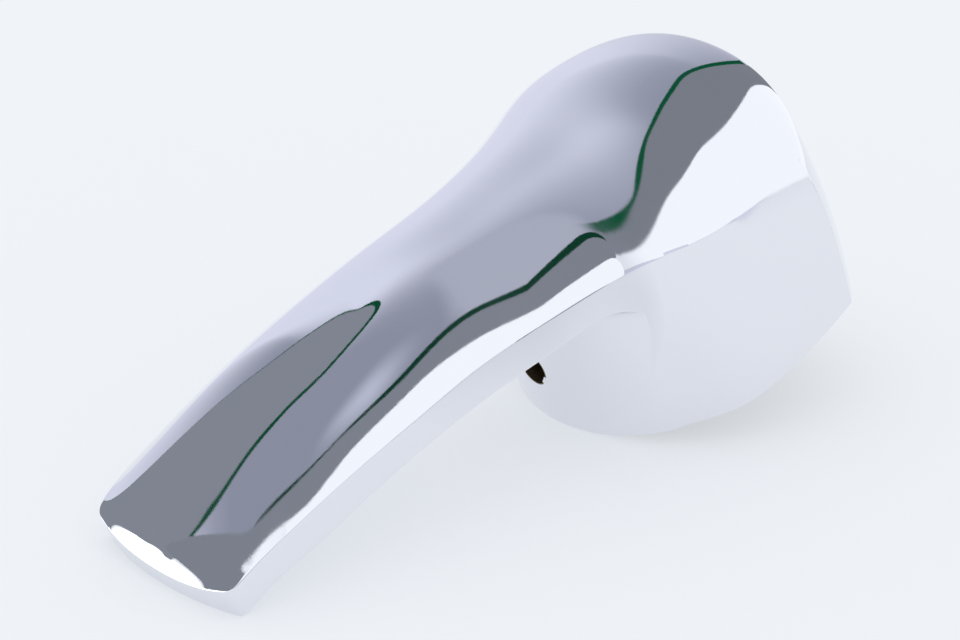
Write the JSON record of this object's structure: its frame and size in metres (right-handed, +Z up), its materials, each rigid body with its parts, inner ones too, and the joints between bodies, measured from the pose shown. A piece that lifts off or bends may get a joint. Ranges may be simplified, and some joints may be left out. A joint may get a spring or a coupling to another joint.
{
  "type": "single-lever mixer tap handle",
  "caption": "Chrome tap handle: hollow bell-shaped head whose dome flows into a rounded lever, with a crease along the side, a square stem socket and a key hole for its grub screw.",
  "frame": {"origin": "on the cartridge axis, in the plane of the head's lower rim", "axes": "+Z up along the cartridge axis to the dome, +X along the lever to its tip"},
  "size_m": [0.1158, 0.047, 0.0458],
  "materials": {
    "chrome_plate": "polished chrome plating",
    "screw_steel": "plain machined steel"
  },
  "bodies": {
    "root": {"handle_body": "chrome_plate", "set_screw": "screw_steel"}
  },
  "joints": []
}
